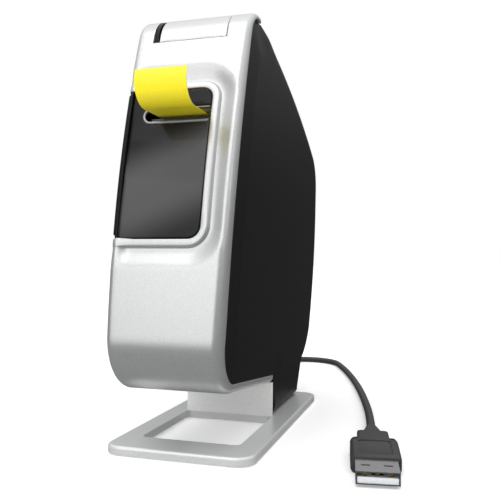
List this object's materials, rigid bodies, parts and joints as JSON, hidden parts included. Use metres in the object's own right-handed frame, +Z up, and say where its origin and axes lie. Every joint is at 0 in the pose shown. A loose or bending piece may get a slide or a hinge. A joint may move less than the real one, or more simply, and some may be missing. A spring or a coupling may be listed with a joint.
{
  "type": "label maker",
  "caption": "Upright desktop label maker on a flat ring stand, with tape exit slot, swing-out cassette door, top cutter button and a USB lead.",
  "frame": {"origin": "bottom centre of the machine without its lead: on the table, under the middle of its width and depth", "axes": "+Z up; +Y from the front, where the tape comes out, to the back; +X to the right seen from the front"},
  "size_m": [0.0901, 0.2149, 0.1398],
  "materials": {
    "silver_shell": "satin",
    "black_plastic": "satin",
    "dark_window": "gloss",
    "silver_base": "satin",
    "rubber_black": "matte",
    "steel": "satin",
    "gear_plastic": "moulded",
    "yellow_tape": "satin",
    "cassette_plastic": "moulded",
    "aluminium": "milled",
    "ceramic": "glazed",
    "battery_wrap": "wrapped",
    "board_green": "lacquered",
    "chip_black": "moulded",
    "cord_black": "satin",
    "nickel": "bright",
    "tongue_white": "moulded",
    "gold": "plated",
    "ribbon_film": "film"
  },
  "bodies": {
    "body": {"front_shell": "silver_shell", "right_housing": "black_plastic", "left_housing": "black_plastic", "housing_screws": "steel", "stand_ring": "silver_base", "stand_riser": "silver_base", "rear_foot_pad": "rubber_black", "front_foot_pads": "rubber_black", "stand_screws": "steel", "door_hinge_pin": "steel", "chassis": "steel", "chassis_screws": "steel", "gear_studs": "steel", "motor": "steel", "platen_bearing": "gear_plastic", "bearing_bridge": "steel", "arm_pin": "steel", "tape_guide": "cassette_plastic", "label_tape": "yellow_tape", "tape_tail": "yellow_tape", "cassette_lid": "cassette_plastic", "cassette_tray": "cassette_plastic", "battery_pack": "battery_wrap", "main_board": "board_green", "board_chips": "chip_black", "cord_relief": "cord_black", "usb_cord": "cord_black", "plug_overmold": "cord_black", "plug_shell": "nickel", "plug_tongue": "tongue_white", "plug_contacts": "gold", "blade_springs": "steel"},
    "door": {"cassette_door": "black_plastic", "window_panel": "dark_window"},
    "battery_hatch": {"battery_cover": "black_plastic"},
    "button": {"cutter_button": "silver_shell"},
    "key": {"power_key": "black_plastic"},
    "switch": {"switch_knob": "black_plastic"},
    "cutter": {"blade_carriage": "gear_plastic", "cutter_blade": "steel"},
    "head": {"head_arm": "aluminium", "print_head": "ceramic"},
    "platen": {"platen_shaft": "steel", "platen_roller": "rubber_black", "platen_gear": "gear_plastic"},
    "front_idler": {"front_idler_gear": "gear_plastic"},
    "takeup": {"takeup_gear": "gear_plastic", "takeup_spindle": "gear_plastic", "takeup_spool": "ribbon_film"},
    "rear_idler": {"rear_idler_gear": "gear_plastic"},
    "rotor": {"motor_shaft": "steel", "motor_pinion": "gear_plastic"},
    "tape_roll": {"tape_spool": "yellow_tape"},
    "ribbon_roll": {"ribbon_spool": "ribbon_film"}
  },
  "joints": [
    {"name": "door_swing", "type": "hinge", "parent": "body", "child": "door", "pos_m": [-0.018, 0.038, 0.09], "axis": [0, 0, -1], "range_deg": [0, 105]},
    {"name": "battery_cover_tilt", "type": "hinge", "parent": "body", "child": "battery_hatch", "pos_m": [-0.0168, -0.015, 0.0262], "axis": [0, -1, 0], "range_deg": [0, 28]},
    {"name": "button_press", "type": "slide", "parent": "body", "child": "button", "axis": [0, 0.7071, -0.7071], "range_m": [0, 0.0045], "stiffness_N_per_m": 150, "springref_m": -0.002},
    {"name": "key_press", "type": "slide", "parent": "body", "child": "key", "axis": [0, 0.7071, -0.7071], "range_m": [0, 0.0008], "stiffness_N_per_m": 200, "springref_m": -0.001},
    {"name": "switch_slide", "type": "slide", "parent": "body", "child": "switch", "axis": [1, 0, 0], "range_m": [0, 0.0028]},
    {"name": "blade_drop", "type": "slide", "parent": "body", "child": "cutter", "axis": [0, 0, -1], "range_m": [0, 0.0032], "stiffness_N_per_m": 60, "springref_m": -0.002, "deforming": ["blade_springs"]},
    {"name": "head_release", "type": "hinge", "parent": "body", "child": "head", "pos_m": [0, -0.0326, 0.088], "axis": [1, 0, 0], "range_deg": [0, 6.3]},
    {"name": "platen_spin", "type": "hinge", "parent": "body", "child": "platen", "pos_m": [0, -0.0365, 0.1089], "axis": [1, 0, 0], "continuous": true},
    {"name": "front_idler_spin", "type": "hinge", "parent": "body", "child": "front_idler", "pos_m": [0, -0.02087, 0.09754], "axis": [1, 0, 0], "continuous": true},
    {"name": "takeup_spin", "type": "hinge", "parent": "body", "child": "takeup", "pos_m": [0, 0.00272, 0.09253], "axis": [1, 0, 0], "continuous": true},
    {"name": "rear_idler_spin", "type": "hinge", "parent": "body", "child": "rear_idler", "pos_m": [0, 0.02655, 0.08876], "axis": [1, 0, 0], "continuous": true},
    {"name": "motor_spin", "type": "hinge", "parent": "body", "child": "rotor", "pos_m": [0, 0.04223, 0.08766], "axis": [1, 0, 0], "continuous": true},
    {"name": "tape_spool_spin", "type": "hinge", "parent": "body", "child": "tape_roll", "pos_m": [0, -0.015, 0.082], "axis": [1, 0, 0], "continuous": true},
    {"name": "ribbon_spool_spin", "type": "hinge", "parent": "body", "child": "ribbon_roll", "pos_m": [0, 0.0195, 0.078], "axis": [1, 0, 0], "continuous": true}
  ],
  "couplings": [
    {"joint": "blade_drop", "follows": "button_press", "ratio": 0.70711},
    {"joint": "head_release", "follows": "door_swing", "ratio": 0.06},
    {"joint": "front_idler_spin", "follows": "takeup_spin", "ratio": -1},
    {"joint": "platen_spin", "follows": "takeup_spin", "ratio": 1.6667},
    {"joint": "rear_idler_spin", "follows": "takeup_spin", "ratio": -1},
    {"joint": "motor_spin", "follows": "takeup_spin", "ratio": 3.3333},
    {"joint": "tape_spool_spin", "follows": "takeup_spin", "ratio": -0.6},
    {"joint": "ribbon_spool_spin", "follows": "takeup_spin", "ratio": 0.8}
  ]
}
